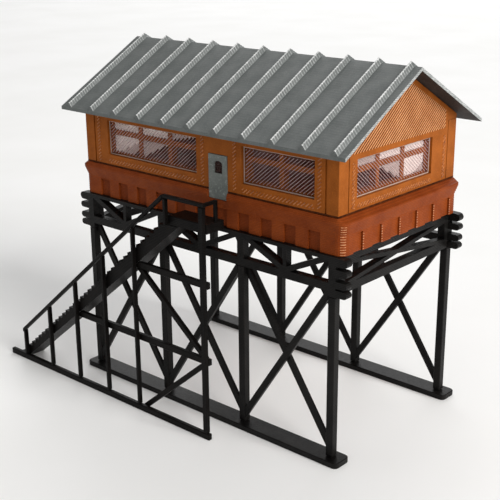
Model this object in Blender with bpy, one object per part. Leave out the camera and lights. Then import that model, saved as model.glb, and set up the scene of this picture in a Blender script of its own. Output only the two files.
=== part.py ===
"""Elevated railway signal box, a small-scale model kit.

A wooden cabin with a ribbed sheet roof stands on a black trestle. The trestle's
two rows of legs leave room for one track between them, along X. A side stair
climbs to a landing at the cabin's door.

Axes: X along the track, front at -Y, +Z up. The pieces are laid out about the
middle of the trestle, with the ground at Z = 0. At the end they all move so that
the origin lies under the middle of the whole part.
"""

import math

import bmesh
import bpy
from mathutils import Vector

MM = 0.001
GAP = 0.06 * MM  # between two pieces that touch
REACH = 1.0 * MM  # how far a cutter stands out of what it cuts

# Trestle
BAY = 16.5 * MM  # from one leg to the next
BAYS = 3
ROW_Y = 14.05 * MM  # middle of a row of legs
MEMBER = 1.2 * MM  # side of a leg, and thickness of a flat frame
SILL_HEIGHT = 0.9 * MM
SILL_WIDTH = 3.3 * MM
SILL_OVERHANG = 2.1 * MM
SILL_CORNER = 0.7 * MM
BRACE_WIDTH = 1.0 * MM
BRACE_THICKNESS = 0.5 * MM  # of each bar: the two lap where they cross
BRACE_INSET = 0.6 * MM
TRUSS_BOTTOM = 25.85 * MM
TRUSS_TOP = 30.8 * MM
LOWER_BEAM_HEIGHT = 1.2 * MM
UPPER_BEAM_HEIGHT = 0.55 * MM
WEB_WIDTH = 0.8 * MM
HANGER_WIDTH = 0.6 * MM
END_BLOCK_BOTTOM = 25.1 * MM  # underside of the truss at the end legs
FINGER_LENGTH = 1.9 * MM  # rounded beam ends, past the end legs
FINGERS = ((30.15 * MM, 0.6 * MM), (28.65 * MM, 0.5 * MM), (26.95 * MM, 0.5 * MM), (25.7 * MM, 0.5 * MM))
END_LOWER_BEAM = (25.2 * MM, 26.4 * MM)
END_UPPER_BEAM = (29.6 * MM, 30.8 * MM)
END_CROSS_WIDTH = 0.6 * MM
END_POST_WIDTH = 0.9 * MM

# Cabin base
BASE_BOTTOM = TRUSS_TOP + GAP
LIP_START = 33.8 * MM
LIP_EDGE = 35.2 * MM
LIP_TOP = 35.5 * MM
FLOOR_TOP = 36.04 * MM
SKIRT_HALF = (26.2 * MM, 14.2 * MM)
SKIRT_CORNER = 1.3 * MM
LIP_OUT = 0.4 * MM
PLINTH_MARGIN = 0.15 * MM  # from a wall's outer face to the edge of the floor under it
PLINTH_CORNER = 0.3 * MM
RECESS_SIZE = (2.1 * MM, 0.3 * MM)  # width and depth of an upright recess in the skirt
RECESS_TOP = 33.6 * MM
LONG_SIDE_RECESSES = (11, 4.26 * MM)  # how many, and their pitch
END_RECESSES = (6, 4.35 * MM)

# Cabin walls
WALL_HALF = (25.3 * MM, 14.2 * MM)
WALL_THICKNESS = 2.1 * MM
WALL_BOTTOM = FLOOR_TOP + GAP
WALL_JOINT = 0.15 * MM
EAR_HEIGHT = 0.7 * MM  # of an end wall's ears, which rest in notches of the long walls
WINDOW_SILL = 37.9 * MM
WINDOW_HEAD = 43.3 * MM
FRONT_WINDOWS = ((-20.1 * MM, -0.6 * MM, 3), (8.3 * MM, 21.3 * MM, 2))  # from, to, lights across
BACK_WINDOWS = ((-21.3 * MM, -1.9 * MM, 3), (1.9 * MM, 21.3 * MM, 3))
END_WINDOW = (-10.2 * MM, 7.9 * MM, 3)
PANE_RECESS = 1.0 * MM
PANE_THICKNESS = 0.5 * MM
BAR = 0.8 * MM
TRANSOM_DROP = 1.9 * MM  # from the window's head to the transom's middle
CORNER_GROOVE = (0.3 * MM, 0.2 * MM)  # width and depth

# Door
DOOR_X = (1.95 * MM, 5.55 * MM)
DOOR_BOTTOM = 34.9 * MM
DOOR_TOP = 41.4 * MM
DOOR_THICKNESS = 0.8 * MM
DOOR_STAND_OUT = 0.12 * MM
DOOR_LIGHT_X = (3.1 * MM, 4.65 * MM)
DOOR_LIGHT_BOTTOM = 38.7 * MM
DOOR_LIGHT_SPRING = 40.1 * MM  # where its arched head starts
DOOR_LIGHT_RISE = 0.45 * MM
DOOR_PANE_RECESS = 0.15 * MM

# Roof
ROOF_HALF = (28.1 * MM, 16.7 * MM)
EAVE_TOP = 45.0 * MM
RIDGE_TOP = 54.4 * MM
SHEET = 0.5 * MM  # measured upright
ROOF_REST = 0.15 * MM
RIBS = 11
RIB_PITCH = 5.26 * MM
RIB_BASE = 2.2 * MM
RIB_CROWN = 0.9 * MM
RIB_HEIGHT = 0.6 * MM
RIB_ROOT = 0.3 * MM  # how deep a rib starts inside the sheet
RIB_INSET = 0.05 * MM  # from a rib's end to the eave

# Stair
STAIR_FRONT = -21.3 * MM
POST_DEPTH = 0.7 * MM
POST_WIDTH = 0.45 * MM
TALL_POST_WIDTH = 0.8 * MM
TALL_POST_X = 6.9 * MM
POST_PITCH = 7.27 * MM
SHORT_POST = 1  # posts counted back from the tall one; this one stands at the landing
LAST_POST = 6
RAIL_HEIGHT = 1.0 * MM
RAIL_DEPTH = 0.65 * MM
HANDRAIL = 0.5 * MM
STAIR_BRACE = 0.8 * MM
GROUND_RAIL_X = (-40.9 * MM, 7.7 * MM)
FLIGHT_BACK = -17.0 * MM
FLIGHT_FOOT_X = -38.84 * MM
LANDING_X = (-0.38 * MM, 7.4 * MM)
LANDING_TOP = 33.1 * MM
LANDING_BOTTOM = 31.7 * MM
RISERS = 39
SOFFIT_X = -37.5 * MM  # where the flight's underside meets the ground
SOFFIT_SLOPE = 0.807
MID_RAIL_Z = 12.2 * MM
UPPER_RAIL_Z = 24.0 * MM
HANDRAIL_LOW = (-36.9 * MM, 5.6 * MM)
HANDRAIL_HIGH = (-0.7 * MM, 36.0 * MM)
HANDRAIL_END_X = 7.5 * MM
END_POST_BACK = -18.2 * MM

EDGE = 0.1 * MM  # small bevel on bars
RAIL_EDGE = 0.05 * MM
# From the middle of the trestle to the middle of the whole part
CENTRE = Vector(((GROUND_RAIL_X[0] + ROOF_HALF[0]) / 2, (STAIR_FRONT + ROOF_HALF[1]) / 2, 0))
LEG_XS = [(i - BAYS / 2) * BAY for i in range(BAYS + 1)]
ROOF_SLOPE = (RIDGE_TOP - EAVE_TOP) / ROOF_HALF[1]


def clear_scene():
    for thing in list(bpy.data.objects):
        bpy.data.objects.remove(thing)


def make_material(name, colour, roughness, alpha=1.0):
    made = bpy.data.materials.new(name)
    made.use_nodes = True
    shader = made.node_tree.nodes["Principled BSDF"]
    shader.inputs["Base Color"].default_value = (*colour, 1.0)
    shader.inputs["Roughness"].default_value = roughness
    shader.inputs["Metallic"].default_value = 0.0
    shader.inputs["Alpha"].default_value = alpha
    return made


# Shapes ---------------------------------------------------------------------


def place(axis, pair, along):
    """A point of an outline that lies across `axis`, at `along` on that axis."""
    if axis == "X":
        return Vector((along, pair[0], pair[1]))
    if axis == "Y":
        return Vector((pair[0], along, pair[1]))
    return Vector((pair[0], pair[1], along))


def add_prism(mesh, outline, axis, low, high):
    """Adds a closed prism of `outline` from `low` to `high` along `axis`."""
    starts = [mesh.verts.new(place(axis, pair, low)) for pair in outline]
    ends = [mesh.verts.new(place(axis, pair, high)) for pair in outline]
    count = len(outline)
    faces = [mesh.faces.new(starts), mesh.faces.new(ends[::-1])]
    for i in range(count):
        j = (i + 1) % count
        faces.append(mesh.faces.new((starts[j], starts[i], ends[i], ends[j])))
    bmesh.ops.recalc_face_normals(mesh, faces=faces)


def add_box(mesh, low, high):
    add_prism(mesh, rectangle(low[0], high[0], low[1], high[1]), "Z", low[2], high[2])


def rectangle(low_a, high_a, low_b, high_b):
    return [(low_a, low_b), (high_a, low_b), (high_a, high_b), (low_a, high_b)]


def rounded_rectangle(half_a, half_b, radius, steps=5):
    points = []
    for quarter, (sign_a, sign_b) in enumerate(((1, 1), (-1, 1), (-1, -1), (1, -1))):
        for step in range(steps + 1):
            angle = (quarter + step / steps) * math.pi / 2
            a = sign_a * (half_a - radius) + radius * math.cos(angle)
            b = sign_b * (half_b - radius) + radius * math.sin(angle)
            points.append((a, b))
    return points


def clip(outline, point, normal):
    """The part of a convex outline on the side of the line that `normal` points to."""

    def side(pair):
        return (pair[0] - point[0]) * normal[0] + (pair[1] - point[1]) * normal[1]

    kept = []
    for i, start in enumerate(outline):
        end = outline[(i + 1) % len(outline)]
        from_line, to_line = side(start), side(end)
        if from_line >= 0:
            kept.append(start)
        if from_line * to_line < 0:
            share = from_line / (from_line - to_line)
            kept.append((start[0] + share * (end[0] - start[0]), start[1] + share * (end[1] - start[1])))
    return kept


def beside(outline, start, end, width, towards):
    """The part of `outline` that lies off a bar from `start` to `end`, on the side of `towards`."""
    along = Vector((end[0] - start[0], end[1] - start[1])).normalized()
    across = Vector((-along.y, along.x))
    if across.dot(Vector((towards[0] - start[0], towards[1] - start[1]))) < 0:
        across.negate()
    edge = Vector(start) + across * (width / 2)
    return clip(outline, edge, across)


def band(start, end, width, window):
    """A straight bar from `start` to `end`, kept inside the outline `window`."""
    along = Vector((end[0] - start[0], end[1] - start[1])).normalized()
    across = Vector((-along.y, along.x)) * (width / 2)
    kept = clip(window, Vector(start) + across, -across)
    return clip(kept, Vector(start) - across, across)


# Objects --------------------------------------------------------------------


def add_object(name, mesh, material):
    data = bpy.data.meshes.new(name)
    mesh.to_mesh(data)
    mesh.free()
    data.materials.append(material)
    made = bpy.data.objects.new(name, data)
    bpy.context.scene.collection.objects.link(made)
    return made


def add_cutter(name, mesh):
    data = bpy.data.meshes.new(name)
    mesh.to_mesh(data)
    mesh.free()
    made = bpy.data.objects.new(name, data)
    bpy.context.scene.collection.objects.link(made)
    made.hide_render = True
    made.display_type = "WIRE"
    return made


def combine(target, other, operation):
    step = target.modifiers.new(f"{operation.lower()}_{other.name}"[:60], "BOOLEAN")
    step.operation = operation
    step.object = other
    step.solver = "EXACT"


def soften(target, width=EDGE):
    step = target.modifiers.new("soft_edges", "BEVEL")
    step.width = width
    step.segments = 1
    step.limit_method = "ANGLE"


def prism_object(name, outline, axis, low, high, material, edge=EDGE):
    mesh = bmesh.new()
    add_prism(mesh, outline, axis, low, high)
    made = add_object(name, mesh, material)
    if edge:
        soften(made, edge)
    return made


def box_object(name, low, high, material, edge=EDGE):
    outline = rectangle(low[0], high[0], low[1], high[1])
    return prism_object(name, outline, "Z", low[2], high[2], material, edge)


def pierce(target, name, outlines, axis, low, high):
    """Cuts a prism of each outline out of `target`."""
    mesh = bmesh.new()
    for outline in outlines:
        add_prism(mesh, outline, axis, low, high)
    combine(target, add_cutter(name, mesh), "DIFFERENCE")


# Trestle --------------------------------------------------------------------


def truss_outline():
    """Outline of a row's truss in X and Z, with its rounded beam ends."""
    leg_out = LEG_XS[-1] + MEMBER / 2
    leg_in = LEG_XS[-1] - MEMBER / 2
    right = []
    for middle, half in FINGERS:
        tip = leg_out + FINGER_LENGTH - half
        right.append((leg_out, middle + half))
        for step in range(7):
            angle = math.pi / 2 - step * math.pi / 6
            right.append((tip + half * math.cos(angle), middle + half * math.sin(angle)))
        right.append((leg_out, middle - half))
    right[0] = (leg_out, TRUSS_TOP)
    right += [(leg_out, END_BLOCK_BOTTOM), (leg_in, END_BLOCK_BOTTOM), (leg_in, TRUSS_BOTTOM)]
    return right + [(-x, z) for x, z in reversed(right)]


def web_holes():
    """Openings of a truss: each bay holds a V, with a hanger in its middle."""
    low = TRUSS_BOTTOM + LOWER_BEAM_HEIGHT
    high = TRUSS_TOP - UPPER_BEAM_HEIGHT
    holes = []
    for left in LEG_XS[:-1]:
        middle = left + BAY / 2
        for side in (-1, 1):
            leg_face = middle + side * (BAY - MEMBER) / 2
            hanger_face = middle + side * HANGER_WIDTH / 2
            cell = rectangle(min(leg_face, hanger_face), max(leg_face, hanger_face), low, high)
            top, foot = (middle + side * BAY / 2, TRUSS_TOP), (middle, low)
            holes.append(beside(cell, top, foot, WEB_WIDTH, (leg_face, low)))
            holes.append(beside(cell, top, foot, WEB_WIDTH, (middle, high)))
    return holes


def make_truss(row, side, material):
    y = side * ROW_Y
    made = prism_object(
        f"{row}_truss", truss_outline(), "Y", y - MEMBER / 2, y + MEMBER / 2, material, edge=0
    )
    pierce(made, f"{row}_truss_cutter", web_holes(), "Y", y - MEMBER, y + MEMBER)


def make_legs(row, side, material):
    y = side * ROW_Y
    for number, x in enumerate(LEG_XS, 1):
        at_end = number in (1, len(LEG_XS))
        top = (END_BLOCK_BOTTOM if at_end else TRUSS_BOTTOM) - GAP
        box_object(
            f"{row}_leg_{number}",
            (x - MEMBER / 2, y - MEMBER / 2, SILL_HEIGHT + GAP),
            (x + MEMBER / 2, y + MEMBER / 2, top),
            material,
        )


def make_sill(row, side, material):
    half = LEG_XS[-1] + SILL_OVERHANG
    outline = [(x, y + side * ROW_Y) for x, y in rounded_rectangle(half, SILL_WIDTH / 2, SILL_CORNER, 3)]
    prism_object(f"{row}_sill", outline, "Z", 0, SILL_HEIGHT, material)


def make_cross_braces(row, side, material):
    """The X between two legs, from their feet to the truss: one bar laps in front of the other."""
    low, high = SILL_HEIGHT + GAP, TRUSS_BOTTOM - GAP
    front = side * ROW_Y - BRACE_THICKNESS - GAP / 2
    for number, left in enumerate(LEG_XS[:-1], 1):
        window = rectangle(left + MEMBER / 2 + GAP, left + BAY - MEMBER / 2 - GAP, low, high)
        foot, head = low + BRACE_INSET, high + BRACE_INSET
        rising = band((left, foot), (left + BAY, head), BRACE_WIDTH, window)
        falling = band((left, head), (left + BAY, foot), BRACE_WIDTH, window)
        for kind, outline, start in (("rising", rising, front), ("falling", falling, side * ROW_Y + GAP / 2)):
            name = f"{row}_{kind}_brace_{number}"
            prism_object(name, outline, "Y", start, start + BRACE_THICKNESS, material, edge=0)


def make_end_frame(name, side, material):
    """Tie between the two rows at one end: two beams with a flat X between them."""
    x = side * LEG_XS[-1]
    half = ROW_Y - MEMBER / 2 - GAP
    low, high = END_LOWER_BEAM[1], END_UPPER_BEAM[0]
    outline = rectangle(-half, half, END_LOWER_BEAM[0], END_UPPER_BEAM[1])
    made = prism_object(name, outline, "X", x - MEMBER / 2, x + MEMBER / 2, material, edge=0)
    inner = half - END_POST_WIDTH
    cell = rectangle(-inner, inner, low, high)
    one = ((-inner, low), (inner, high))
    other = ((-inner, high), (inner, low))
    holes = []
    for towards in ((0, high), (0, low), (-inner, (low + high) / 2), (inner, (low + high) / 2)):
        hole = beside(cell, *one, END_CROSS_WIDTH, towards)
        holes.append(beside(hole, *other, END_CROSS_WIDTH, towards))
    pierce(made, f"{name}_cutter", holes, "X", x - MEMBER, x + MEMBER)


# Cabin ----------------------------------------------------------------------


def make_base(material):
    """The skirt with its upright recesses and flared lip, and the floor that the walls stand on."""
    lip = [half + LIP_OUT for half in SKIRT_HALF]
    plinth = [half + PLINTH_MARGIN for half in WALL_HALF]
    rings = (
        (BASE_BOTTOM, SKIRT_HALF, SKIRT_CORNER), (LIP_START, SKIRT_HALF, SKIRT_CORNER),
        (LIP_EDGE, lip, SKIRT_CORNER), (LIP_TOP, lip, SKIRT_CORNER), (FLOOR_TOP, plinth, PLINTH_CORNER),
    )
    mesh = bmesh.new()
    loops = []
    for z, half, corner in rings:
        loops.append([mesh.verts.new((x, y, z)) for x, y in rounded_rectangle(*half, corner)])
    count = len(loops[0])
    for lower, upper in zip(loops, loops[1:]):
        for i in range(count):
            j = (i + 1) % count
            mesh.faces.new((lower[i], lower[j], upper[j], upper[i]))
    mesh.faces.new(loops[0][::-1])
    mesh.faces.new(loops[-1])
    bmesh.ops.recalc_face_normals(mesh, faces=mesh.faces)
    made = add_object("cabin_base", mesh, material)
    made.data.shade_smooth()
    made.data.set_sharp_from_angle(angle=math.radians(30))

    width, depth = RECESS_SIZE
    low, high = BASE_BOTTOM - REACH, RECESS_TOP
    mesh = bmesh.new()
    for side in (-1, 1):
        face = side * SKIRT_HALF[1]
        for x in recess_middles(*LONG_SIDE_RECESSES):
            add_box(mesh, (x - width / 2, min(face - side * depth, face + side * REACH), low),
                    (x + width / 2, max(face - side * depth, face + side * REACH), high))
        face = side * SKIRT_HALF[0]
        for y in recess_middles(*END_RECESSES):
            add_box(mesh, (min(face - side * depth, face + side * REACH), y - width / 2, low),
                    (max(face - side * depth, face + side * REACH), y + width / 2, high))
    combine(made, add_cutter("skirt_recess_cutter", mesh), "DIFFERENCE")

    notch = bmesh.new()
    add_box(notch, (DOOR_X[0] - GAP, -WALL_HALF[1] - 3 * REACH, DOOR_BOTTOM - GAP),
            (DOOR_X[1] + GAP, door_back() + GAP, FLOOR_TOP + REACH))
    combine(made, add_cutter("door_notch_cutter", notch), "DIFFERENCE")


def recess_middles(count, pitch):
    return [(i - (count - 1) / 2) * pitch for i in range(count)]


def door_back():
    return -WALL_HALF[1] - DOOR_STAND_OUT + DOOR_THICKNESS


def window_lights(start, end, across):
    """Each light of a window as (low, high, bottom, top), between the bars."""
    pitch = (end - start) / across
    transom = WINDOW_HEAD - TRANSOM_DROP
    lights = []
    for i in range(across):
        low = start + i * pitch + BAR / 2
        high = start + (i + 1) * pitch - BAR / 2
        lights.append((low, high, WINDOW_SILL + BAR / 2, transom - BAR / 2))
        lights.append((low, high, transom + BAR / 2, WINDOW_HEAD - BAR / 2))
    return lights


def cut_windows(wall, name, windows, axis, outer, inner):
    """Cuts each window's recess from the outer face, and its lights right through."""
    sign = 1 if outer > inner else -1
    recess_end = outer - sign * PANE_RECESS
    recesses = [rectangle(a, b, WINDOW_SILL, WINDOW_HEAD) for a, b, _ in windows]
    lights = [rectangle(*light) for window in windows for light in window_lights(*window)]
    outside, inside = outer + sign * REACH, inner - sign * REACH
    pierce(wall, f"{name}_recess_cutter", recesses, axis, *sorted((recess_end, outside)))
    pierce(wall, f"{name}_light_cutter", lights, axis, *sorted((inside, outside)))


def make_long_wall(name, side, windows, with_door, material):
    outer = side * WALL_HALF[1]
    inner = outer - side * WALL_THICKNESS
    top = roof_underside(WALL_HALF[1]) - ROOF_REST
    end, notch, ear = WALL_HALF[0], WALL_HALF[0] - WALL_THICKNESS - WALL_JOINT, top - EAR_HEIGHT
    outline = [(-end, WALL_BOTTOM), (end, WALL_BOTTOM), (end, ear), (notch, ear),
               (notch, top), (-notch, top), (-notch, ear), (-end, ear)]
    wall = prism_object(name, outline, "Y", *sorted((outer, inner)), material, edge=0)
    cut_windows(wall, name, windows, "Y", outer, inner)
    width, depth = CORNER_GROOVE
    grooves = []
    for end in (-1, 1):
        middle = end * (WALL_HALF[0] - WALL_THICKNESS)
        grooves.append(rectangle(middle - width / 2, middle + width / 2, WALL_BOTTOM - REACH, top + REACH))
    pierce(wall, f"{name}_groove_cutter", grooves, "Y", *sorted((outer - side * depth, outer + side * REACH)))
    if with_door:
        doorway = [rectangle(DOOR_X[0] - GAP, DOOR_X[1] + GAP, WALL_BOTTOM - REACH, DOOR_TOP + GAP)]
        through = [rectangle(*DOOR_LIGHT_X, DOOR_LIGHT_BOTTOM, DOOR_LIGHT_SPRING)]
        pierce(wall, "doorway_cutter", doorway, "Y", outer - REACH, door_back() + GAP)
        pierce(wall, "door_light_cutter", through, "Y", outer - REACH, inner + REACH)


def make_end_wall(name, side, window, material):
    outer = side * WALL_HALF[0]
    inner = outer - side * WALL_THICKNESS
    half = WALL_HALF[1] - WALL_THICKNESS - WALL_JOINT
    wide = WALL_HALF[1]
    shoulder = roof_underside(wide) - ROOF_REST
    ear = shoulder - EAR_HEIGHT + GAP
    apex = roof_underside(0) - ROOF_REST
    outline = [(-half, WALL_BOTTOM), (half, WALL_BOTTOM), (half, ear), (wide, ear), (wide, shoulder),
               (0, apex), (-wide, shoulder), (-wide, ear), (-half, ear)]
    wall = prism_object(name, outline, "X", *sorted((outer, inner)), material, edge=0)
    cut_windows(wall, name, [window], "X", outer, inner)


def make_pane(name, axis, side, window, material):
    outer = side * (WALL_HALF[1] if axis == "Y" else WALL_HALF[0])
    back = outer - side * (PANE_RECESS - GAP)
    front = back + side * PANE_THICKNESS
    outline = rectangle(window[0] + GAP, window[1] - GAP, WINDOW_SILL + GAP, WINDOW_HEAD - GAP)
    prism_object(name, outline, axis, *sorted((front, back)), material, edge=0)


def arch_outline(inset):
    """Outline of the door's light: upright sides under a flat arch."""
    low, high = DOOR_LIGHT_X[0] + inset, DOOR_LIGHT_X[1] - inset
    middle, half = (low + high) / 2, (high - low) / 2
    rise = DOOR_LIGHT_RISE - inset
    points = [(low, DOOR_LIGHT_BOTTOM + inset), (high, DOOR_LIGHT_BOTTOM + inset)]
    for step in range(7):
        angle = step * math.pi / 6
        points.append((middle + half * math.cos(angle), DOOR_LIGHT_SPRING + rise * math.sin(angle)))
    return points


def make_door(leaf_material, pane_material):
    front = -WALL_HALF[1] - DOOR_STAND_OUT
    back = door_back()
    outline = rectangle(DOOR_X[0], DOOR_X[1], DOOR_BOTTOM, DOOR_TOP)
    leaf = prism_object("door_leaf", outline, "Y", front, back, leaf_material, edge=0)
    pierce(leaf, "door_light_hole_cutter", [arch_outline(0)], "Y", front - REACH, back + REACH)
    pane_front = front + DOOR_PANE_RECESS
    prism_object("door_pane", arch_outline(GAP), "Y", pane_front, back, pane_material, edge=0)


# Roof -----------------------------------------------------------------------


def roof_underside(y):
    return RIDGE_TOP - SHEET - ROOF_SLOPE * abs(y)


def make_roof(material):
    half = ROOF_HALF[1]
    outline = [
        (-half, EAVE_TOP), (-half, EAVE_TOP - SHEET), (0, RIDGE_TOP - SHEET),
        (half, EAVE_TOP - SHEET), (half, EAVE_TOP), (0, RIDGE_TOP),
    ]
    roof = prism_object("roof", outline, "X", -ROOF_HALF[0], ROOF_HALF[0], material, edge=0)
    mesh = bmesh.new()
    for i in range(RIBS):
        add_rib(mesh, (i - (RIBS - 1) / 2) * RIB_PITCH)
    combine(roof, add_cutter("rib_shapes", mesh), "UNION")


def add_rib(mesh, x):
    """One standing seam, from eave to eave over the ridge, with sloping flanks."""
    crown, base = RIB_CROWN / 2, RIB_BASE / 2
    # Each section is four corners: two buried in the sheet, two at the crown.
    offsets = ((-base, -RIB_ROOT), (-crown, RIB_HEIGHT), (crown, RIB_HEIGHT), (base, -RIB_ROOT))
    sections = []
    reach = ROOF_HALF[1] - RIB_INSET
    for y in (-reach, 0, reach):
        z = RIDGE_TOP - ROOF_SLOPE * abs(y)
        sections.append([mesh.verts.new((x + dx, y, z + dz)) for dx, dz in offsets])
    faces = [mesh.faces.new(sections[0]), mesh.faces.new(sections[-1][::-1])]
    for near, far in zip(sections, sections[1:]):
        for i in range(4):
            j = (i + 1) % 4
            faces.append(mesh.faces.new((near[j], near[i], far[i], far[j])))
    bmesh.ops.recalc_face_normals(mesh, faces=faces)


# Stair ----------------------------------------------------------------------


def under_flight(outline):
    """The part of `outline` that is clear of the flight's underside."""
    return clip(outline, (SOFFIT_X + 2 * GAP, 0), (SOFFIT_SLOPE, -1))


def make_flight(material):
    """The solid flight with its steps, and the landing at its head."""
    run = (LANDING_X[0] - FLIGHT_FOOT_X) / (RISERS - 1)
    rise = LANDING_TOP / RISERS
    front = STAIR_FRONT + POST_DEPTH + GAP
    head = LANDING_BOTTOM - GAP
    outline = [(SOFFIT_X, 0), (FLIGHT_FOOT_X, 0)]
    for step in range(RISERS - 1):
        outline.append((FLIGHT_FOOT_X + step * run, (step + 1) * rise))
        outline.append((FLIGHT_FOOT_X + (step + 1) * run, (step + 1) * rise))
    outline += [(LANDING_X[0], head), (SOFFIT_X + head / SOFFIT_SLOPE, head)]
    prism_object("stair_flight", outline, "Y", front, FLIGHT_BACK, material, edge=0)

    landing = rectangle(LANDING_X[0] + GAP, LANDING_X[1], LANDING_BOTTOM, LANDING_TOP)
    prism_object("stair_landing", landing, "Y", front, FLIGHT_BACK, material, edge=RAIL_EDGE)


def handrail_slope():
    return (HANDRAIL_HIGH[1] - HANDRAIL_LOW[1]) / (HANDRAIL_HIGH[0] - HANDRAIL_LOW[0])


def handrail_z(x):
    share = (x - HANDRAIL_LOW[0]) / (HANDRAIL_HIGH[0] - HANDRAIL_LOW[0])
    return HANDRAIL_LOW[1] + min(max(share, 0), 1) * (HANDRAIL_HIGH[1] - HANDRAIL_LOW[1])


def make_stair_posts(material):
    back = STAIR_FRONT + POST_DEPTH
    for number in range(LAST_POST + 1):
        width = TALL_POST_WIDTH if number == 0 else POST_WIDTH
        x = TALL_POST_X - number * POST_PITCH
        foot = LANDING_BOTTOM if number == SHORT_POST else RAIL_HEIGHT + GAP
        lean = 0 if number < SHORT_POST else math.atan(handrail_slope())
        rail_half = HANDRAIL / 2 / math.cos(lean)
        tops = [handrail_z(x + end * width / 2) - rail_half - GAP for end in (-1, 1)]
        outline = [(x - width / 2, foot), (x + width / 2, foot),
                   (x + width / 2, tops[1]), (x - width / 2, tops[0])]
        name = "stair_corner_post" if number == 0 else f"stair_post_{LAST_POST + 1 - number}"
        prism_object(name, outline, "Y", STAIR_FRONT, back, material, edge=RAIL_EDGE)


def make_handrails(material):
    """The stair's handrail, and the landing's, which meet at a mitre."""
    low, high = Vector(HANDRAIL_LOW), Vector(HANDRAIL_HIGH)
    mitre = ((high - low).normalized() + Vector((1, 0))).normalized()
    window = rectangle(low.x - HANDRAIL / 2, HANDRAIL_END_X, 0, high.y + HANDRAIL)
    sloping = clip(window, high - mitre * GAP / 2, -mitre)
    level = clip(window, high + mitre * GAP / 2, mitre)
    back = STAIR_FRONT + POST_DEPTH
    sloping = band(low, high, HANDRAIL, sloping)
    level = band(high, (HANDRAIL_END_X, high.y), HANDRAIL, level)
    prism_object("stair_handrail", sloping, "Y", STAIR_FRONT, back, material, edge=RAIL_EDGE)
    prism_object("landing_handrail", level, "Y", STAIR_FRONT, back, material, edge=RAIL_EDGE)


def make_stair_rails(material):
    """The rail on the ground, and the two level rails behind the posts with their braces."""
    post_back = STAIR_FRONT + POST_DEPTH
    start, end = GROUND_RAIL_X
    box_object("stair_ground_rail", (start, STAIR_FRONT, 0), (end, post_back, RAIL_HEIGHT), material)

    front, back = post_back + GAP, post_back + GAP + RAIL_DEPTH
    half = RAIL_HEIGHT / 2
    left, right = SOFFIT_X, TALL_POST_X + TALL_POST_WIDTH / 2
    corner = (TALL_POST_X, MID_RAIL_Z)
    second_post = TALL_POST_X - 2 * POST_PITCH
    middle = rectangle(left, right, MID_RAIL_Z - half, MID_RAIL_Z + half)
    upper = rectangle(left, right, UPPER_RAIL_Z - half, UPPER_RAIL_Z + half)
    rising = rectangle(second_post, right, 0, MID_RAIL_Z - half - GAP)
    falling = rectangle(second_post, right, MID_RAIL_Z + half + GAP, UPPER_RAIL_Z - half - GAP)
    pieces = (
        ("stair_middle_rail", middle),
        ("stair_upper_rail", upper),
        ("stair_rising_brace", band((second_post, 0), corner, STAIR_BRACE, rising)),
        ("stair_falling_brace", band((second_post, UPPER_RAIL_Z), corner, STAIR_BRACE, falling)),
    )
    for name, outline in pieces:
        prism_object(name, under_flight(outline), "Y", front, back, material, edge=RAIL_EDGE)


def make_landing_end_rail(material):
    """Short rail across the landing's end, with its post at the cabin's side."""
    front = STAIR_FRONT + POST_DEPTH + GAP
    low, high = HANDRAIL_HIGH[1] - HANDRAIL / 2, HANDRAIL_HIGH[1] + HANDRAIL / 2
    foot = LANDING_TOP + GAP
    post = (END_POST_BACK - HANDRAIL, END_POST_BACK)
    outline = [(front, low), (post[0], low), (post[0], foot), (post[1], foot), (post[1], high), (front, high)]
    x = LANDING_X[1]
    prism_object("landing_end_rail", outline, "X", x - HANDRAIL, x, material, edge=RAIL_EDGE)


# Assembly -------------------------------------------------------------------


def build():
    clear_scene()
    black = make_material("black_plastic", (0.012, 0.011, 0.011), 0.45)
    brown = make_material("brown_plastic", (0.30, 0.09, 0.025), 0.5)
    red_brown = make_material("red_brown_plastic", (0.20, 0.045, 0.018), 0.5)
    grey = make_material("grey_plastic", (0.12, 0.135, 0.13), 0.45)
    pale_grey = make_material("pale_grey_plastic", (0.25, 0.28, 0.26), 0.5)
    clear = make_material("clear_plastic", (0.85, 0.85, 0.86), 0.2, alpha=0.4)

    for row, side in (("front", -1), ("back", 1)):
        make_sill(row, side, black)
        make_legs(row, side, black)
        make_cross_braces(row, side, black)
        make_truss(row, side, black)
    make_end_frame("left_end_frame", -1, black)
    make_end_frame("right_end_frame", 1, black)

    make_flight(black)
    make_stair_posts(black)
    make_handrails(black)
    make_stair_rails(black)
    make_landing_end_rail(black)

    make_base(red_brown)
    make_long_wall("front_wall", -1, FRONT_WINDOWS, True, brown)
    make_long_wall("back_wall", 1, BACK_WINDOWS, False, brown)
    make_end_wall("left_wall", -1, END_WINDOW, brown)
    make_end_wall("right_wall", 1, END_WINDOW, brown)
    make_pane("front_left_pane", "Y", -1, FRONT_WINDOWS[0], clear)
    make_pane("front_right_pane", "Y", -1, FRONT_WINDOWS[1], clear)
    make_pane("back_left_pane", "Y", 1, BACK_WINDOWS[0], clear)
    make_pane("back_right_pane", "Y", 1, BACK_WINDOWS[1], clear)
    make_pane("left_pane", "X", -1, END_WINDOW, clear)
    make_pane("right_pane", "X", 1, END_WINDOW, clear)
    make_door(pale_grey, clear)
    make_roof(grey)
    for piece in bpy.context.scene.objects:
        piece.location = -CENTRE


build()
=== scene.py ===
"""Elevated railway signal box: materials, print texture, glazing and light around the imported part.

Lengths are in metres. The trestle's middle, the cabin's faces and the roof's corners come from
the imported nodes, so every added piece sits where the part has it.
"""

import math

import bmesh
import bpy
from mathutils import Matrix, Vector


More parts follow.
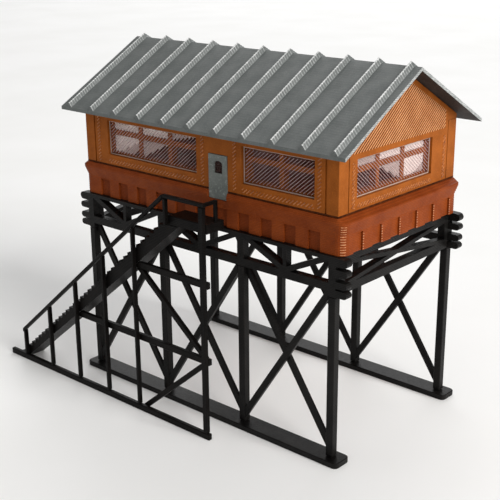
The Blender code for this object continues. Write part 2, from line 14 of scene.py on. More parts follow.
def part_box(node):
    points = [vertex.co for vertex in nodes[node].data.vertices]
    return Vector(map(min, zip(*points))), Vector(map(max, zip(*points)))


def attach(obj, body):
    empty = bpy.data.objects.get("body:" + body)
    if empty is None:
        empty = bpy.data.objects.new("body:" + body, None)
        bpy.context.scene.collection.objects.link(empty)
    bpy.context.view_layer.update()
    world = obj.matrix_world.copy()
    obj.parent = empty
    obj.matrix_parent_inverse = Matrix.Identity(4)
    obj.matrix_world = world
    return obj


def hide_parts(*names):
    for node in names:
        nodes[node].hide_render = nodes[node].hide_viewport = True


MM = 0.001
LAYER = 0.24 * MM  # height of one printed layer
LINE = 0.417 * MM  # from one extruded line to the next
LINE_ANGLE = math.radians(39.5)  # of the lines to the ground

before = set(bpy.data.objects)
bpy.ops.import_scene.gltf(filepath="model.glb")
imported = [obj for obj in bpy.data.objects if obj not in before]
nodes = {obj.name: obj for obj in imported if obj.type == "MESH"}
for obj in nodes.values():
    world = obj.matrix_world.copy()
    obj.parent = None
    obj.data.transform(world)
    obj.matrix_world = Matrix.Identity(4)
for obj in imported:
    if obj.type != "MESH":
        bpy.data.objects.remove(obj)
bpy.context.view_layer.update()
collection = bpy.context.scene.collection


# Materials ------------------------------------------------------------------

RAMP = (0.35, 0.65)  # the values of a noise between which a colour changes
FINE = 0.25 * MM  # size of the unevenness that changes the gloss
GRAIN = 0.22 * MM  # size of the small paler grains
GRAIN_FROM = 0.6  # the value of the noise above which there is a grain
GRAIN_SHARE = 0.18
GRAIN_LIFT = 1.8  # how much paler a grain is
SPECK = 0.5 * MM  # the same for the larger specks of the door
SPECK_FROM = 0.62
SPECK_SHARE = 0.45
GROOVE = 0.5  # brightness of the groove between two layers
WANDER = 2 * MM  # length over which the layers wander up and down
WANDER_REACH = 1.5  # and how far, in radians of one layer
CLOUD = 1.2 * MM  # size of the cloudy patches of the clear print
CLOUD_DARK = 0.86
CLEAR_IOR = 1.46


def scaled(colour, share):
    return tuple(c * share for c in colour)


class Shader:
    """A node tree that is built up one node at a time."""

    def __init__(self, name):
        self.material = bpy.data.materials.new(name)
        self.material.use_nodes = True
        self.tree = self.material.node_tree
        self.surface = self.tree.nodes["Principled BSDF"]
        self.coords = self.tree.nodes.new("ShaderNodeTexCoord").outputs["Object"]

    def add(self, kind, inputs=None, **settings):
        node = self.tree.nodes.new(kind)
        for key, value in settings.items():
            setattr(node, key, value)
        for key, value in (inputs or {}).items():
            if isinstance(value, bpy.types.NodeSocket):
                self.tree.links.new(value, node.inputs[key])
            else:
                node.inputs[key].default_value = value
        return node

    def math(self, operation, first, second=0.0, third=0.5):
        inputs = {0: first, 1: second, 2: third}
        return self.add("ShaderNodeMath", inputs, operation=operation).outputs[0]

    def noise(self, size, detail=3.0):
        """Noise from 0 to 1 whose features are about `size` across."""
        inputs = {"Vector": self.coords, "Scale": 1 / size, "Detail": detail}
        return self.add("ShaderNodeTexNoise", inputs).outputs["Fac"]

    def layers(self):
        """Ripples from 0 to 1 up the part, one in each printed layer."""
        up = {0: self.coords, 1: (0, 0, 1)}
        height = self.add("ShaderNodeVectorMath", up, operation="DOT_PRODUCT").outputs["Value"]
        turn = self.math("MULTIPLY", height, 2 * math.pi / LAYER)
        turn = self.math("ADD", turn, self.math("MULTIPLY", self.noise(WANDER), WANDER_REACH))
        return self.math("MULTIPLY_ADD", self.math("SINE", turn), 0.5, 0.5)

    def ramp(self, value, low, high):
        """Colour from `low` to `high` as `value` crosses the middle of its range."""
        made = self.add("ShaderNodeValToRGB", {"Fac": value})
        for element, place, colour in zip(made.color_ramp.elements, RAMP, (low, high)):
            element.position = place
            element.color = (*colour, 1)
        return made.outputs["Color"]

    def mix(self, share, first, second):
        """The output `first`, mixed with the colour `second`."""
        made = self.add("ShaderNodeMix", data_type="RGBA")
        self.tree.links.new(share, made.inputs[0])
        self.tree.links.new(first, made.inputs[6])
        made.inputs[7].default_value = (*second, 1)
        return made.outputs[2]

    def bump(self, height, distance):
        made = self.add("ShaderNodeBump", {"Height": height, "Distance": distance})
        self.tree.links.new(made.outputs[0], self.surface.inputs["Normal"])

    def connect(self, name, value):
        self.tree.links.new(value, self.surface.inputs[name])

    def set(self, **values):
        for key, value in values.items():
            self.surface.inputs[key.replace("_", " ")].default_value = value


def printed(name, low, high, rough, ripple=0.22, depth=0.02, speck=None, shine=0.5, mottle=2.5):
    """Printed plastic: patches `mottle` mm across in colours from low to high, with fine grain.

    `ripple` is how strongly the layers show, `depth` the height of the surface's relief in mm.
    """
    made = Shader(name)
    fine = made.noise(FINE, 4.0)
    colour = made.ramp(made.noise(mottle * MM), low, high)
    grain = made.math("GREATER_THAN", made.noise(GRAIN, 2.0), GRAIN_FROM)
    colour = made.mix(made.math("MULTIPLY", grain, GRAIN_SHARE), colour, scaled(high, GRAIN_LIFT))
    height = made.math("MULTIPLY", fine, 0.8)
    if ripple:
        waves = made.layers()
        shade = made.math("MULTIPLY", made.math("SUBTRACT", 1.0, waves), ripple)
        colour = made.mix(shade, colour, scaled(low, GROOVE))
        height = made.math("ADD", waves, height)
    if speck:
        spots = made.math("GREATER_THAN", made.noise(SPECK, 2.0), SPECK_FROM)
        colour = made.mix(made.math("MULTIPLY", spots, SPECK_SHARE), colour, speck)
    made.connect("Base Color", colour)
    made.connect("Roughness", made.math("MULTIPLY_ADD", fine, 0.3, rough - 0.15))
    made.set(Specular_IOR_Level=shine)
    made.bump(height, depth * MM)
    return made.material


def clear(name, alpha, colour, rough, shine):
    """Clear print: cloudy, and glossy where light meets it."""
    made = Shader(name)
    made.connect("Base Color", made.ramp(made.noise(CLOUD), scaled(colour, CLOUD_DARK), colour))
    made.connect("Roughness", made.math("MULTIPLY_ADD", made.noise(0.3 * MM), 0.25, rough))
    made.set(Alpha=alpha, IOR=CLEAR_IOR, Specular_IOR_Level=shine)
    made.bump(made.noise(0.35 * MM), 0.03 * MM)
    return made.material


black = printed("black_print", (0.0040, 0.0036, 0.0034), (0.0095, 0.0086, 0.0080), 0.40, shine=0.11)
# painted shade: the stair and the landing get a darker, less shiny copy of the black print
black_painted_shade = printed("black_print_stair_painted_shade", (0.0024, 0.0020, 0.0018), (0.0060, 0.0050, 0.0045), 0.42,
                     shine=0.07)
brown = printed("brown_print", (0.24, 0.064, 0.008), (0.31, 0.086, 0.012), 0.5, ripple=0, shine=0.06)
# painted shade between the gable's raised print lines
brown_gaps_painted_shade = printed("brown_print_gaps_painted_shade", (0.110, 0.028, 0.006), (0.145, 0.037, 0.008), 0.6, ripple=0,
                     shine=0.06)
# painted highlight: the raised print lines are much lighter than the wall, standing in for glints
brown_lines_highlight = printed("brown_print_lines", (0.58, 0.25, 0.095), (0.70, 0.34, 0.145), 0.3, ripple=0,
                      depth=0.006, shine=0.4)
# painted glints: the short lines run from dark to bright in small patches
brown_ticks_glint = printed("brown_print_ticks_glint", (0.19, 0.048, 0.008), (0.48, 0.17, 0.045), 0.3, ripple=0,
                      depth=0.006, mottle=0.35)
# painted shade: the dark line along the foot of each wall, where it meets the skirt
foot_shade = printed("brown_print_foot_painted_shade", (0.030, 0.009, 0.004), (0.085, 0.022, 0.006), 0.7, ripple=0,
                     shine=0.04, mottle=0.8)
# painted glints on the layers' ends at the skirt's corners and recess edges
red_glint = printed("red_brown_print_glint", (0.32, 0.095, 0.028), (0.60, 0.27, 0.12), 0.3, ripple=0,
                    mottle=0.5)
# painted shade on the floors of the long recesses
red_shade = printed("red_brown_print_recess_painted_shade", (0.140, 0.026, 0.005), (0.190, 0.036, 0.008), 0.6,
                    ripple=0.3, shine=0.06)
red_brown = printed("red_brown_print", (0.185, 0.034, 0.006), (0.245, 0.050, 0.009), 0.45, ripple=0.3,
                    shine=0.06)
grey = printed("grey_print", (0.094, 0.104, 0.101), (0.122, 0.132, 0.129), 0.42, ripple=0, depth=0.008,
               shine=0.3)
# painted highlight on the ribs' crowns
grey_crown_highlight = printed("grey_print_crown_highlight", (0.46, 0.48, 0.47), (0.85, 0.86, 0.85), 0.25, ripple=0,
                     mottle=0.6)
# painted highlight, paler, on the ribs' flanks towards the light
grey_flank_highlight = printed("grey_print_flank_highlight", (0.17, 0.18, 0.176), (0.32, 0.33, 0.325), 0.3, ripple=0,
                     mottle=0.6)
grey_rib = printed("grey_print_rib", (0.115, 0.126, 0.123), (0.155, 0.165, 0.162), 0.35, ripple=0)
# painted highlight on the roof sheet's cut edges
grey_verge_highlight = printed("grey_print_verge_highlight", (0.26, 0.275, 0.27), (0.50, 0.51, 0.505), 0.3, ripple=0.8,
                     mottle=0.6)
# painted shade on the roof's underside
soffit_painted_shade = printed("grey_print_soffit_painted_shade", (0.030, 0.026, 0.024), (0.050, 0.043, 0.040), 0.6, shine=0.1)
door_grey = printed("door_print", (0.13, 0.145, 0.135), (0.19, 0.205, 0.19), 0.5, ripple=0.1,
                    speck=(0.34, 0.36, 0.34), shine=0.2)
glass = clear("clear_print", 0.07, (0.26, 0.085, 0.09), 0.14, 0.15)
# painted highlight on the panes' print lines
glass_lines_highlight = clear("clear_print_lines", 0.66, (0.64, 0.47, 0.45), 0.2, 0.3)
glass_rim = clear("clear_print_rim", 0.70, (0.56, 0.42, 0.35), 0.2, 0.3)
# painted light: nearly opaque pale patches behind some panes, which brighten parts of the windows
glass_painted_light = clear("clear_print_painted_light", 0.96, (1.0, 0.88, 0.84), 0.3, 0.2)
glass_painted_light_faint = clear("clear_print_painted_light_faint", 0.50, (0.90, 0.76, 0.72), 0.3, 0.2)
glass_dark = clear("clear_print_door", 0.72, (0.035, 0.014, 0.011), 0.3, 0.15)


# Shapes ---------------------------------------------------------------------

SUNK = 0.03 * MM  # how far an added piece reaches into the face that it stands on
NODE_EDGE = 0.07 * MM  # rounding of the edges of the part's own nodes
EDGE_ANGLE = math.radians(40)  # sharper edges than this are rounded
LINE_TOP = 0.45  # width of a print line's top, as a share of its foot


def piece(name, mesh, finishes, body, stands_for=()):
    """Makes an object of the finished mesh, and lets it ride on a body of the part."""
    bmesh.ops.recalc_face_normals(mesh, faces=mesh.faces)
    data = bpy.data.meshes.new(name)
    mesh.to_mesh(data)
    mesh.free()
    for material in finishes:
        data.materials.append(material)
    made = bpy.data.objects.new(name, data)
    collection.objects.link(made)
    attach(made, body)
    if stands_for:
        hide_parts(*stands_for)


def soften(target):
    """Rounds the sharp edges a little, so that they catch the light."""
    step = target.modifiers.new("soft_edges", "BEVEL")
    step.width = NODE_EDGE
    step.segments = 2
    step.limit_method = "ANGLE"
    step.angle_limit = EDGE_ANGLE
    step.harden_normals = False


def spread(count, pitch, middle):
    """`count` places that lie `pitch` apart, evenly about `middle`."""
    return [middle + (i - (count - 1) / 2) * pitch for i in range(count)]


def rectangle(a0, a1, b0, b1):
    return [(a0, b0), (a1, b0), (a1, b1), (a0, b1)]


def sides(outline):
    """The start and end of each side of a closed outline."""
    return zip(outline, [*outline[1:], *outline[:1]])


def distance(point, place, normal):
    """How far `point` lies from the line through `place`, positive where `normal` points."""
    return (point[0] - place[0]) * normal[0] + (point[1] - place[1]) * normal[1]


def between(start, end, share):
    return (start[0] + share * (end[0] - start[0]), start[1] + share * (end[1] - start[1]))


def clip(outline, place, normal):
    """The part of a convex outline on the side that `normal` points to."""
    kept = []
    for start, end in sides(outline):
        a = distance(start, place, normal)
        b = distance(end, place, normal)
        if a >= 0:
            kept.append(start)
        if a * b < 0:
            kept.append(between(start, end, a / (a - b)))
    return kept


def cut_line(outline, place, along):
    """The two ends of the line through `place` inside a convex outline, or None if it's too short."""
    across = (-along[1], along[0])
    hits = []
    for start, end in sides(outline):
        a = distance(start, place, across)
        b = distance(end, place, across)
        if (a < 0) != (b < 0):
            hits.append(between(start, end, a / (a - b)))
    if len(hits) < 2 or math.dist(hits[0], hits[1]) < LINE / 2:
        return None
    return hits[0], hits[1]


def shrink(outline, border):
    """A convex outline that runs anticlockwise, moved inward by `border` on every side."""
    kept = outline
    for start, end in sides(outline):
        along = Vector((end[0] - start[0], end[1] - start[1])).normalized()
        inward = Vector((-along.y, along.x))
        kept = clip(kept, Vector(start) + inward * border, inward)
    return kept


def tube(mesh, rings, finish=0):
    """A closed tube through rings of corners. Returns its sides, a list for each two rings."""
    ends = [mesh.faces.new(rings[0]), mesh.faces.new(rings[-1][::-1])]
    stretches = []
    for near, far in zip(rings, rings[1:]):
        stretch = []
        for i in range(len(near)):
            j = (i + 1) % len(near)
            stretch.append(mesh.faces.new((near[j], near[i], far[i], far[j])))
        stretches.append(stretch)
    for faces in (ends, *stretches):
        for face in faces:
            face.material_index = finish
    return stretches


def slab(mesh, outline, place, low, high, finish=0):
    """A closed flat piece of a convex outline, from `low` to `high` out of the wall.

    `place` turns a point (along the wall, up, out of the wall) into world space.
    """
    rings = [[mesh.verts.new(place(a, b, out)) for a, b in outline] for out in (low, high)]
    tube(mesh, rings, finish)


def rule(mesh, outline, place, rising, height, width, sunk=SUNK, finish=0):
    """Rows of raised slanting lines inside `outline`, each a closed little bar.

    `place` is as in `slab`. `width` is the foot of a line as a share of the lines' pitch.
    """
    along = Vector((math.cos(LINE_ANGLE), math.sin(LINE_ANGLE) * (1 if rising else -1)))
    across = Vector((-along.y, along.x))
    offsets = [across.x * a + across.y * b for a, b in outline]
    foot = across * LINE * width / 2
    top = foot * LINE_TOP
    for i in range(int(min(offsets) / LINE) - 1, int(max(offsets) / LINE) + 1):
        rings = []
        for end in cut_line(outline, across * i * LINE, along) or ():
            middle = Vector(end)
            section = (
                place(*(middle - foot), -sunk), place(*(middle - top), height),
                place(*(middle + top), height), place(*(middle + foot), -sunk),
            )
            rings.append([mesh.verts.new(corner) for corner in section])
        if rings:
            tube(mesh, rings, finish)


# The part's own places and finishes -------------------------------------------

WALLS = ("front", "back", "left", "right")
LONG_WALLS = ("front", "back")

sill_lo, sill_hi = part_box("front_sill")
back_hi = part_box("back_sill")[1]
MIDDLE = Vector(((sill_lo.x + sill_hi.x) / 2, (sill_lo.y + back_hi.y) / 2, 0))


def outward(wall, lo, hi):
    """Turns (along, up, out) on the face of a box that looks the way `wall` does into world space."""
    axis = 1 if wall in LONG_WALLS else 0
    sign = -1 if wall in ("front", "left") else 1
    face = lo[axis] if sign < 0 else hi[axis]

    def place(along, up, out):
        point = Vector((along, along, up))
        point[axis] = face + sign * out
        return point

    return place


NODE_FINISHES = {"cabin_base": red_brown, "door_leaf": door_grey, "door_pane": glass_dark, "roof": grey}


def node_finish(name):
    """The finish of one of the part's own nodes."""
    if name in NODE_FINISHES:
        return NODE_FINISHES[name]
    if name.endswith("_wall"):
        return brown
    if name.endswith("_pane"):
        return glass
    # the stair and the landing take the darker black, painted shade
    if name.startswith(("stair", "landing")):
        return black_painted_shade
    return black


for name, obj in nodes.items():
    for slot in obj.material_slots:
        slot.material = node_finish(name)
    if not name.endswith("_pane") and name != "roof":
        soften(obj)


# Roof -----------------------------------------------------------------------

RIBS = 11
RIB_PITCH = 5.26 * MM
RIB_BASE = 1.35 * MM
RIB_CROWN = 0.26 * MM
RIB_HEIGHT = 0.6 * MM
RIB_SUNK = 0.3 * MM
RIB_SHOULDER = 0.9  # where a rib's crown starts, as a share of the height
RIB_TOP = 0.6  # width of the flat top, as a share of the crown
RIB_SPREAD = 0.6  # how much a step widens the crown for each unit that it stands out
FOOT_WIDTH, FOOT_HEIGHT = 0.1 * MM, 0.06 * MM  # the slanting foot of a rib
EAVE_GAP = 0.05 * MM  # from a rib's end to the eave
SHEET = 0.5 * MM
RIDGE = 54.4 * MM
STEP = 0.05 * MM  # how far each layer of a rib stands out over the next
SHEET_STEP = 0.006 * MM
# One step from its outer edge (0) to the next step's (1), and the share of its height at each place
STEP_SHAPE = ((0, 1), (0.36, 1), (0.44, 0), (0.92, 0))
# Places of the finishes on the sheet and on a rib: painted shade on the underside, painted highlight on the
# verges, and on a rib a bright painted highlight and a paler one
UNDERSIDE, VERGE = 1, 2
HIGHLIT, HALF_LIT, PLAIN = 1, 2, 3
# Finish of each side of a rib, on a layer's edge and between two edges: a bright painted highlight on the
# crown and a paler one on the flank towards the light
EDGE_FINISH = (PLAIN, PLAIN, HIGHLIT, HIGHLIT, HIGHLIT, HALF_LIT, PLAIN, PLAIN)
BETWEEN_FINISH = (PLAIN, PLAIN, HIGHLIT, HIGHLIT, HALF_LIT, PLAIN, PLAIN, PLAIN)

roof_lo, roof_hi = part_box("roof")
half_width = (roof_hi.y - roof_lo.y) / 2
slope = (RIDGE - roof_lo.z - SHEET) / half_width
STEPS = int((RIDGE - roof_lo.z - SHEET) / LAYER)


def roof_point(x, y, lift):
    """The place `y` from the ridge, `lift` above the roof's smooth surface."""
    return Vector((x, MIDDLE.y + y, RIDGE - slope * abs(y) + lift))


def stepped(reach, height):
    """(place across the ridge, how far it stands out) from eave to eave, one step in each layer."""
    pitch = reach / STEPS
    side = []
    for k in range(STEPS):
        edge = reach * (1 - k / STEPS)
        side += [(edge - place * pitch, share * height) for place, share in STEP_SHAPE]
    return [(-y, out) for y, out in side] + [(0.0, height)] + side[::-1]


def make_sheet():
    """The folded sheet: smooth below, with the small steps of the printed layers on top; its underside has
    painted shade and its verges a painted highlight.
    """
    mesh = bmesh.new()
    rows = []
    for y, out in stepped(half_width, SHEET_STEP):
        levels = (out - SHEET_STEP, -SHEET)
        rows.append([mesh.verts.new(roof_point(x, y, z)) for x in (roof_lo.x, roof_hi.x) for z in levels])
    for near, far in zip(rows, rows[1:]):
        mesh.faces.new((near[0], near[2], far[2], far[0]))
        mesh.faces.new((near[1], near[3], far[3], far[1])).material_index = UNDERSIDE
        mesh.faces.new((near[0], near[1], far[1], far[0])).material_index = VERGE
        mesh.faces.new((near[2], near[3], far[3], far[2])).material_index = VERGE
    for row in (rows[0], rows[-1]):
        mesh.faces.new((row[0], row[2], row[3], row[1]))
    piece("roof_sheet", mesh, (grey, soffit_painted_shade, grey_verge_highlight), "roof", ["roof"])


def rib_outline(grow):
    """The section of a rib where it stands out by `grow`, from one foot over the crown to the other."""
    base = RIB_BASE / 2
    crown = RIB_CROWN / 2 + grow * RIB_SPREAD
    height = RIB_HEIGHT + grow
    half = [(base, -RIB_SUNK), (base - FOOT_WIDTH, FOOT_HEIGHT), (crown, height * RIB_SHOULDER),
            (crown * RIB_TOP, height)]
    return [(-x, z) for x, z in half] + half[::-1]


def make_ribs():
    """Standing seams over the ridge: each printed layer shows as a small step, and the crown and one flank
    carry painted highlight.
    """
    mesh = bmesh.new()
    for x in spread(RIBS, RIB_PITCH, MIDDLE.x):
        rings = []
        for y, grow in stepped(half_width - EAVE_GAP, STEP):
            rings.append([mesh.verts.new(roof_point(x + dx, y, dz)) for dx, dz in rib_outline(grow)])
        for i, stretch in enumerate(tube(mesh, rings)):
            finishes = BETWEEN_FINISH if i % len(STEP_SHAPE) else EDGE_FINISH
            for face, finish in zip(stretch, finishes):
                face.material_index = finish
    piece("roof_ribs", mesh, (grey, grey_crown_highlight, grey_flank_highlight, grey_rib), "roof")


make_sheet()
make_ribs()


# Cabin walls ------------------------------------------------------------------

WINDOW_SILL, WINDOW_HEAD = 37.9 * MM, 43.3 * MM
CORNER_POST = 2.25 * MM  # width of the plain post at each corner of the cabin
EDGE_BORDER = 0.8 * MM  # smooth border along a gable's edges
ROW_WIDTH = 0.6 * MM  # of the rows of short lines beside the windows and under them
ROW_FOOT = 0.55 * MM
ROW_GAP = 0.3 * MM  # from a row's top to the window head, and twice that to the roof
WIDEST = 3 * ROW_WIDTH  # where more wall is free, a row stands in the middle of this much of it
FOOT_LINE = 0.24 * MM  # height of the painted shade along the foot of a wall
LINE_HEIGHT = 0.09 * MM
GROUND_HEIGHT, GROUND_SUNK = 0.015 * MM, 0.05 * MM  # of the painted shade between the lines
GABLE_LINE, SHORT_LINE = 0.42, 0.5  # width of the lines, as a share of their pitch
GAPS, SHORT, FOOT = 1, 2, 3  # places of the finishes on a wall: painted shade between the gable's lines, painted glints on the short lines, painted shade along the foot

door_lo, door_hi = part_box("door_leaf")
DOOR = (door_lo.x, door_hi.x)


def gable_region(lo, hi):
    """The region of an end wall that shows long slanting lines."""
    low, high = lo.y + CORNER_POST, hi.y - CORNER_POST
    shoulder = RIDGE - SHEET - slope * (high - MIDDLE.y)
    corners = [(low, WINDOW_HEAD), (high, WINDOW_HEAD), (high, shoulder), (MIDDLE.y, hi.z), (low, shoulder)]
    return shrink(corners, EDGE_BORDER)


def row_places(wall, start, end, is_first):
    """Where the rows of short lines stand in a free stretch of a wall, from `start` to `end`."""
    if wall == "front" and start < DOOR[0] < end:
        return ((start + DOOR[0]) / 2, (DOOR[1] + end) / 2)
    if end - start > WIDEST:
        start, end = (start, start + WIDEST) if is_first else (end - WIDEST, end)
    return ((start + end) / 2,)


def row_regions(wall, lo, hi, axis):
    """The rows of short lines of a wall: upright beside its windows, level under each window."""
    panes = [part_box(n) for n in nodes if n.startswith(wall) and n.endswith("_pane")]
    windows = sorted((pane_lo[axis], pane_hi[axis]) for pane_lo, pane_hi in panes)
    low, high = lo[axis] + CORNER_POST, hi[axis] - CORNER_POST
    foot = lo.z + ROW_FOOT
    top = hi.z - ROW_GAP if wall in LONG_WALLS else WINDOW_HEAD
    edges = [low, *(x for window in windows for x in window), high]
    regions = []
    for start, end in zip(edges[::2], edges[1::2]):
        for middle in row_places(wall, start, end, start == low):
            regions.append(rectangle(middle - ROW_WIDTH / 2, middle + ROW_WIDTH / 2, foot, top - ROW_GAP))
    for start, end in windows:
        regions.append(rectangle(start, end, foot, foot + ROW_WIDTH))
    return regions


def make_wall_lines(wall):
    """The print lines of a wall with painted highlight and painted glints, the painted shade between those
    of a gable, and the painted shade along the wall's foot.
    """
    lo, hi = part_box(f"{wall}_wall")
    axis = 0 if wall in LONG_WALLS else 1
    place = outward(wall, lo, hi)
    mesh = bmesh.new()
    ends = [lo[axis], *DOOR, hi[axis]] if wall == "front" else [lo[axis], hi[axis]]
    # painted shade along the foot of the wall, broken at the door
    for start, end in zip(ends[::2], ends[1::2]):
        slab(mesh, rectangle(start, end, lo.z, lo.z + FOOT_LINE), place, -GROUND_SUNK, GROUND_HEIGHT, FOOT)
    if wall not in LONG_WALLS:
        gable = gable_region(lo, hi)
        # painted shade between the gable's lines
        slab(mesh, gable, place, -GROUND_SUNK, GROUND_HEIGHT, GAPS)
        # the gable's lines carry painted highlight
        rule(mesh, gable, place, True, LINE_HEIGHT, GABLE_LINE)
    for region in row_regions(wall, lo, hi, axis):
        rule(mesh, region, place, True, LINE_HEIGHT, SHORT_LINE, finish=SHORT)
    finishes = (brown_lines_highlight, brown_gaps_painted_shade, brown_ticks_glint, foot_shade)
    piece(f"{wall}_wall_lines", mesh, finishes, "signal_box")


for wall in WALLS:
    make_wall_lines(wall)


# Cabin base -------------------------------------------------------------------

LIP_OUT = 0.4 * MM
LIP_START, LIP_EDGE = 33.8 * MM, 35.2 * MM
SKIRT_CORNER = 1.3 * MM
RECESS_TOP = 33.6 * MM
RECESS_WIDTH = 2.1 * MM
RECESS_DEPTH = 0.3 * MM
RECESS_SHADE, RECESS_GAP = 0.02 * MM, 0.03 * MM  # the thickness of the painted-shade floor, and the gap round it
LONG_RECESSES = 11
LONG_RECESS_PITCH = 4.26 * MM
END_RECESSES = 6
END_RECESS_PITCH = 4.35 * MM
TICK = 0.11 * MM  # height of the painted glint on a layer's end
TICK_PITCH = 1.5 * LAYER
TICK_FIRST = 0.35  # height of the lowest one, as a share of the pitch
TICK_LENGTH = 0.22 * MM
TICK_OUT = 0.03 * MM
TICK_START, TICK_TURN, TICK_TURNS = 24, 7, 5  # degrees round a corner: the start, each turn, how many
RECESS_FLOOR = 1  # place of the recess floor's finish, painted shade


def corner_tick(mesh, middle, reach, turned, low):
    """A painted glint on a layer's end, bent round the corner of the skirt that `turned` points to."""
    rings = []
    for step in range(TICK_TURNS + 1):
        angle = math.radians(TICK_START + TICK_TURN * step)
        ring = []
        for out, z in rectangle(-SUNK, TICK_OUT, low, low + TICK):
            flare = LIP_OUT * max(0.0, z - LIP_START) / (LIP_EDGE - LIP_START)
            x = reach.x + flare - SKIRT_CORNER + (SKIRT_CORNER + out) * math.cos(angle)
            y = reach.y + flare - SKIRT_CORNER + (SKIRT_CORNER + out) * math.sin(angle)
            ring.append(mesh.verts.new((middle.x + turned[0] * x, middle.y + turned[1] * y, z)))
        rings.append(ring)
    tube(mesh, rings)


def make_skirt_glints_and_shade():
    """Painted glints on the layers' ends at the skirt's corners and end recesses, and painted shade on the
    long recesses' floors.
    """
    lo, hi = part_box("cabin_base")
    lip = Vector((LIP_OUT, LIP_OUT, 0))
    depth = Vector((0, RECESS_DEPTH, 0))
    middle = (lo + hi) / 2
    mesh = bmesh.new()
    for layer in range(int((LIP_EDGE - lo.z) / TICK_PITCH)):
        low = lo.z + (layer + TICK_FIRST) * TICK_PITCH
        for turned in ((1, -1), (1, 1), (-1, 1), (-1, -1)):
            corner_tick(mesh, middle, (hi - lo) / 2 - lip, turned, low)
        if low + TICK > RECESS_TOP:
            continue
        for wall in ("left", "right"):
            place = outward(wall, lo + lip, hi - lip)
            for recess in spread(END_RECESSES, END_RECESS_PITCH, middle.y):
                edge = recess + RECESS_WIDTH / 2
                slab(mesh, rectangle(edge, edge + TICK_LENGTH, low, low + TICK), place, -SUNK, TICK_OUT)
    # the long recesses' floors get painted shade
    half = RECESS_WIDTH / 2 - RECESS_GAP
    for wall in LONG_WALLS:
        place = outward(wall, lo + lip + depth, hi - lip - depth)
        for recess in spread(LONG_RECESSES, LONG_RECESS_PITCH, middle.x):
            floor = rectangle(recess - half, recess + half, lo.z, RECESS_TOP - RECESS_GAP)
            slab(mesh, floor, place, -SUNK, RECESS_SHADE, RECESS_FLOOR)
    piece("skirt_painted_glints_and_shade", mesh, (red_glint, red_shade), "signal_box")


make_skirt_glints_and_shade()


# Windows ----------------------------------------------------------------------

PANE_BORDER = 0.35 * MM  # smooth border of a pane
PANE_LINE_HEIGHT = 0.06 * MM
PANE_LINE, PATCH_LINE = 0.2, 0.98  # width of the lines, as a share of their pitch
RIM_WIDTH = 0.15 * MM
PATCH_DEPTH, PATCH_THICKNESS = 0.68 * MM, 0.04 * MM  # the depth is from a pane's face
PATCH_SIDE_GAP, PATCH_END_GAP = 0.1 * MM, 0.03 * MM  # from a patch of painted light to the bars beside it, above and below
BAR = 0.8 * MM  # width of a window bar
TRANSOM_DROP = 1.9 * MM  # from the window head to the cross bar
RIM, STRONG_LIGHT, FAINT_LIGHT = 1, 2, 3  # places of the finishes on a pane: the rim, and strong and faint painted light
UPPER, LOWER = True, False
LOW_END, HIGH_END = -1, 1
LIGHTS = {"front_left_pane": 3, "right_pane": 3}
# Painted light: bright patches inside the lights of a window. Each row: the light's number along the
# window, its level, the upper corner that the patch starts from, where the patch starts and ends on the
# diagonal from that corner, and its finish.
LIGHT_PATCHES = {
    "front_left_pane": (
        (0, UPPER, LOW_END, 0, 1, STRONG_LIGHT), (1, UPPER, LOW_END, 0, 1, STRONG_LIGHT),
        (2, UPPER, LOW_END, 0, 0.45, FAINT_LIGHT), (0, LOWER, LOW_END, 0, 0.6, STRONG_LIGHT),
        (0, LOWER, LOW_END, 0.6, 0.85, FAINT_LIGHT), (1, LOWER, LOW_END, 0, 0.5, FAINT_LIGHT),
    ),
    "right_pane": (
        (0, UPPER, HIGH_END, 0, 1, FAINT_LIGHT), (1, UPPER, HIGH_END, 0, 1, STRONG_LIGHT),
        (2, UPPER, HIGH_END, 0, 1, STRONG_LIGHT), (2, LOWER, LOW_END, 0, 0.75, STRONG_LIGHT),
        (2, LOWER, LOW_END, 0.75, 1, FAINT_LIGHT), (1, LOWER, HIGH_END, 0, 0.5, FAINT_LIGHT),
    ),
}


def light_patch_outline(low, pitch, number, is_upper, corner, start, end):
    """The outline of a patch of painted light in a window that starts at `low` and has a light every
    `pitch`.
    """
    left = low + number * pitch + BAR / 2 + PATCH_SIDE_GAP
    width = pitch - BAR - 2 * PATCH_SIDE_GAP
    transom = WINDOW_HEAD - TRANSOM_DROP
    foot, top = (transom, WINDOW_HEAD) if is_upper else (WINDOW_SILL, transom)
    foot += BAR / 2 + PATCH_END_GAP
    top -= BAR / 2 + PATCH_END_GAP
    outline = rectangle(left, left + width, foot, top)
    for share, way in ((start, -1), (end, 1)):
        along = 1 - share if corner == HIGH_END else share
        place = (left + along * width, top - share * (top - foot))
        outline = clip(outline, place, (way * corner / width, way / (top - foot)))
    return outline


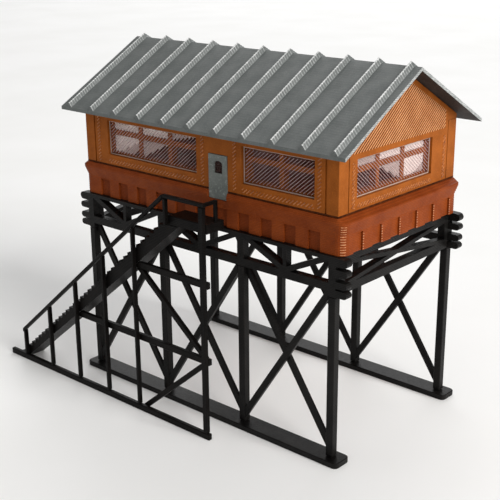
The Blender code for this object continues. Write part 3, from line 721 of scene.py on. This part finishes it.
def make_pane_lines(name):
    """The print lines of a clear pane with painted highlight, its thin rim and the patches of painted light
    behind it.
    """
    wall = name.split("_")[0]
    axis = 0 if wall in LONG_WALLS else 1
    rising = wall in LONG_WALLS
    lo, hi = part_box(name)
    place = outward(wall, lo, hi)
    low, high = lo[axis], hi[axis]
    mesh = bmesh.new()
    region = shrink(rectangle(low, high, lo.z, hi.z), PANE_BORDER)
    # the pane's print lines carry painted highlight
    rule(mesh, region, place, rising, PANE_LINE_HEIGHT, PANE_LINE)
    rim = (
        (low, high, lo.z, lo.z + RIM_WIDTH), (low, high, hi.z - RIM_WIDTH, hi.z),
        (low, low + RIM_WIDTH, lo.z + RIM_WIDTH, hi.z - RIM_WIDTH),
        (high - RIM_WIDTH, high, lo.z + RIM_WIDTH, hi.z - RIM_WIDTH),
    )
    for bar in rim:
        slab(mesh, rectangle(*bar), place, -SUNK, PANE_LINE_HEIGHT, RIM)
    # patches of painted light behind the pane
    for *where, finish in LIGHT_PATCHES.get(name, ()):
        light_patch = light_patch_outline(low, (high - low) / LIGHTS[name], *where)
        rule(mesh, light_patch, place, rising, -PATCH_DEPTH, PATCH_LINE, PATCH_DEPTH + PATCH_THICKNESS, finish)
    finishes = (glass_lines_highlight, glass_rim, glass_painted_light, glass_painted_light_faint)
    piece(f"{name}_lines", mesh, finishes, "signal_box")


for name in nodes:
    if name.endswith("_pane") and name != "door_pane":
        make_pane_lines(name)


# Stage ----------------------------------------------------------------------

FLOOR_REACH = 2.5  # from the middle to an edge of the ground
PAPER = (0.87, 0.87, 0.86), (0.90, 0.90, 0.895)
PAPER_PATCH = 40 * MM
LIT_PLACE = Vector((0, 0, 0.03))
SKY = 0.40
# The photo's camera: its direction, the tilt of the picture, its place from the part's middle, its lens
AZIMUTH, ELEVATION, ROLL = math.radians(-42.017), math.radians(18.505), math.radians(-0.486)
CAMERA = MIDDLE + Vector((102.44, -117.08, 74.76)) * MM
LENS, SENSOR = 73.78, 36


def make_floor():
    """White paper under the part."""
    mesh = bmesh.new()
    bmesh.ops.create_grid(mesh, x_segments=8, y_segments=8, size=FLOOR_REACH)
    data = bpy.data.meshes.new("floor")
    mesh.to_mesh(data)
    mesh.free()
    made = Shader("floor_paper")
    made.connect("Base Color", made.ramp(made.noise(PAPER_PATCH), *PAPER))
    made.set(Roughness=0.8)
    data.materials.append(made.material)
    floor = bpy.data.objects.new("floor", data)
    collection.objects.link(floor)


def area_light(name, place, size, power, colour=(1, 1, 1)):
    """A square light at `place` that looks at the part."""
    light = bpy.data.lights.new(name, "AREA")
    light.energy = power
    light.size = size
    light.color = colour
    made = bpy.data.objects.new(name, light)
    made.location = place
    made.rotation_mode = "QUATERNION"
    made.rotation_quaternion = (LIT_PLACE - Vector(place)).to_track_quat("-Z", "Y")
    collection.objects.link(made)


def make_sky():
    """An even white sky."""
    world = bpy.data.worlds.new("sky")
    world.use_nodes = True
    background = world.node_tree.nodes["Background"]
    background.inputs["Color"].default_value = (1.0, 1.0, 1.0, 1)
    background.inputs["Strength"].default_value = SKY
    bpy.context.scene.world = world


def make_camera():
    """The camera that was fitted to the photo."""
    level = math.cos(ELEVATION)
    look = Vector((level * math.sin(AZIMUTH), level * math.cos(AZIMUTH), -math.sin(ELEVATION)))
    right = look.cross(Vector((0, 0, 1))).normalized()
    up = right.cross(look)
    turned_right = math.cos(ROLL) * right + math.sin(ROLL) * up
    turned_up = -math.sin(ROLL) * right + math.cos(ROLL) * up
    data = bpy.data.cameras.new("camera")
    data.lens = LENS
    data.sensor_width = SENSOR
    data.clip_start = 0.01
    camera = bpy.data.objects.new("camera", data)
    placed = Matrix((turned_right, turned_up, -look)).transposed().to_4x4()
    placed.translation = CAMERA
    camera.matrix_world = placed
    collection.objects.link(camera)
    bpy.context.scene.camera = camera


make_floor()
area_light("key", (1.05, -0.08, 0.60), 0.7, 16.0, (1.0, 0.985, 0.965))
area_light("back_wash", (-0.50, 0.75, 0.7), 0.9, 5.2)
make_sky()
make_camera()
bpy.context.scene.view_settings.view_transform = "Standard"
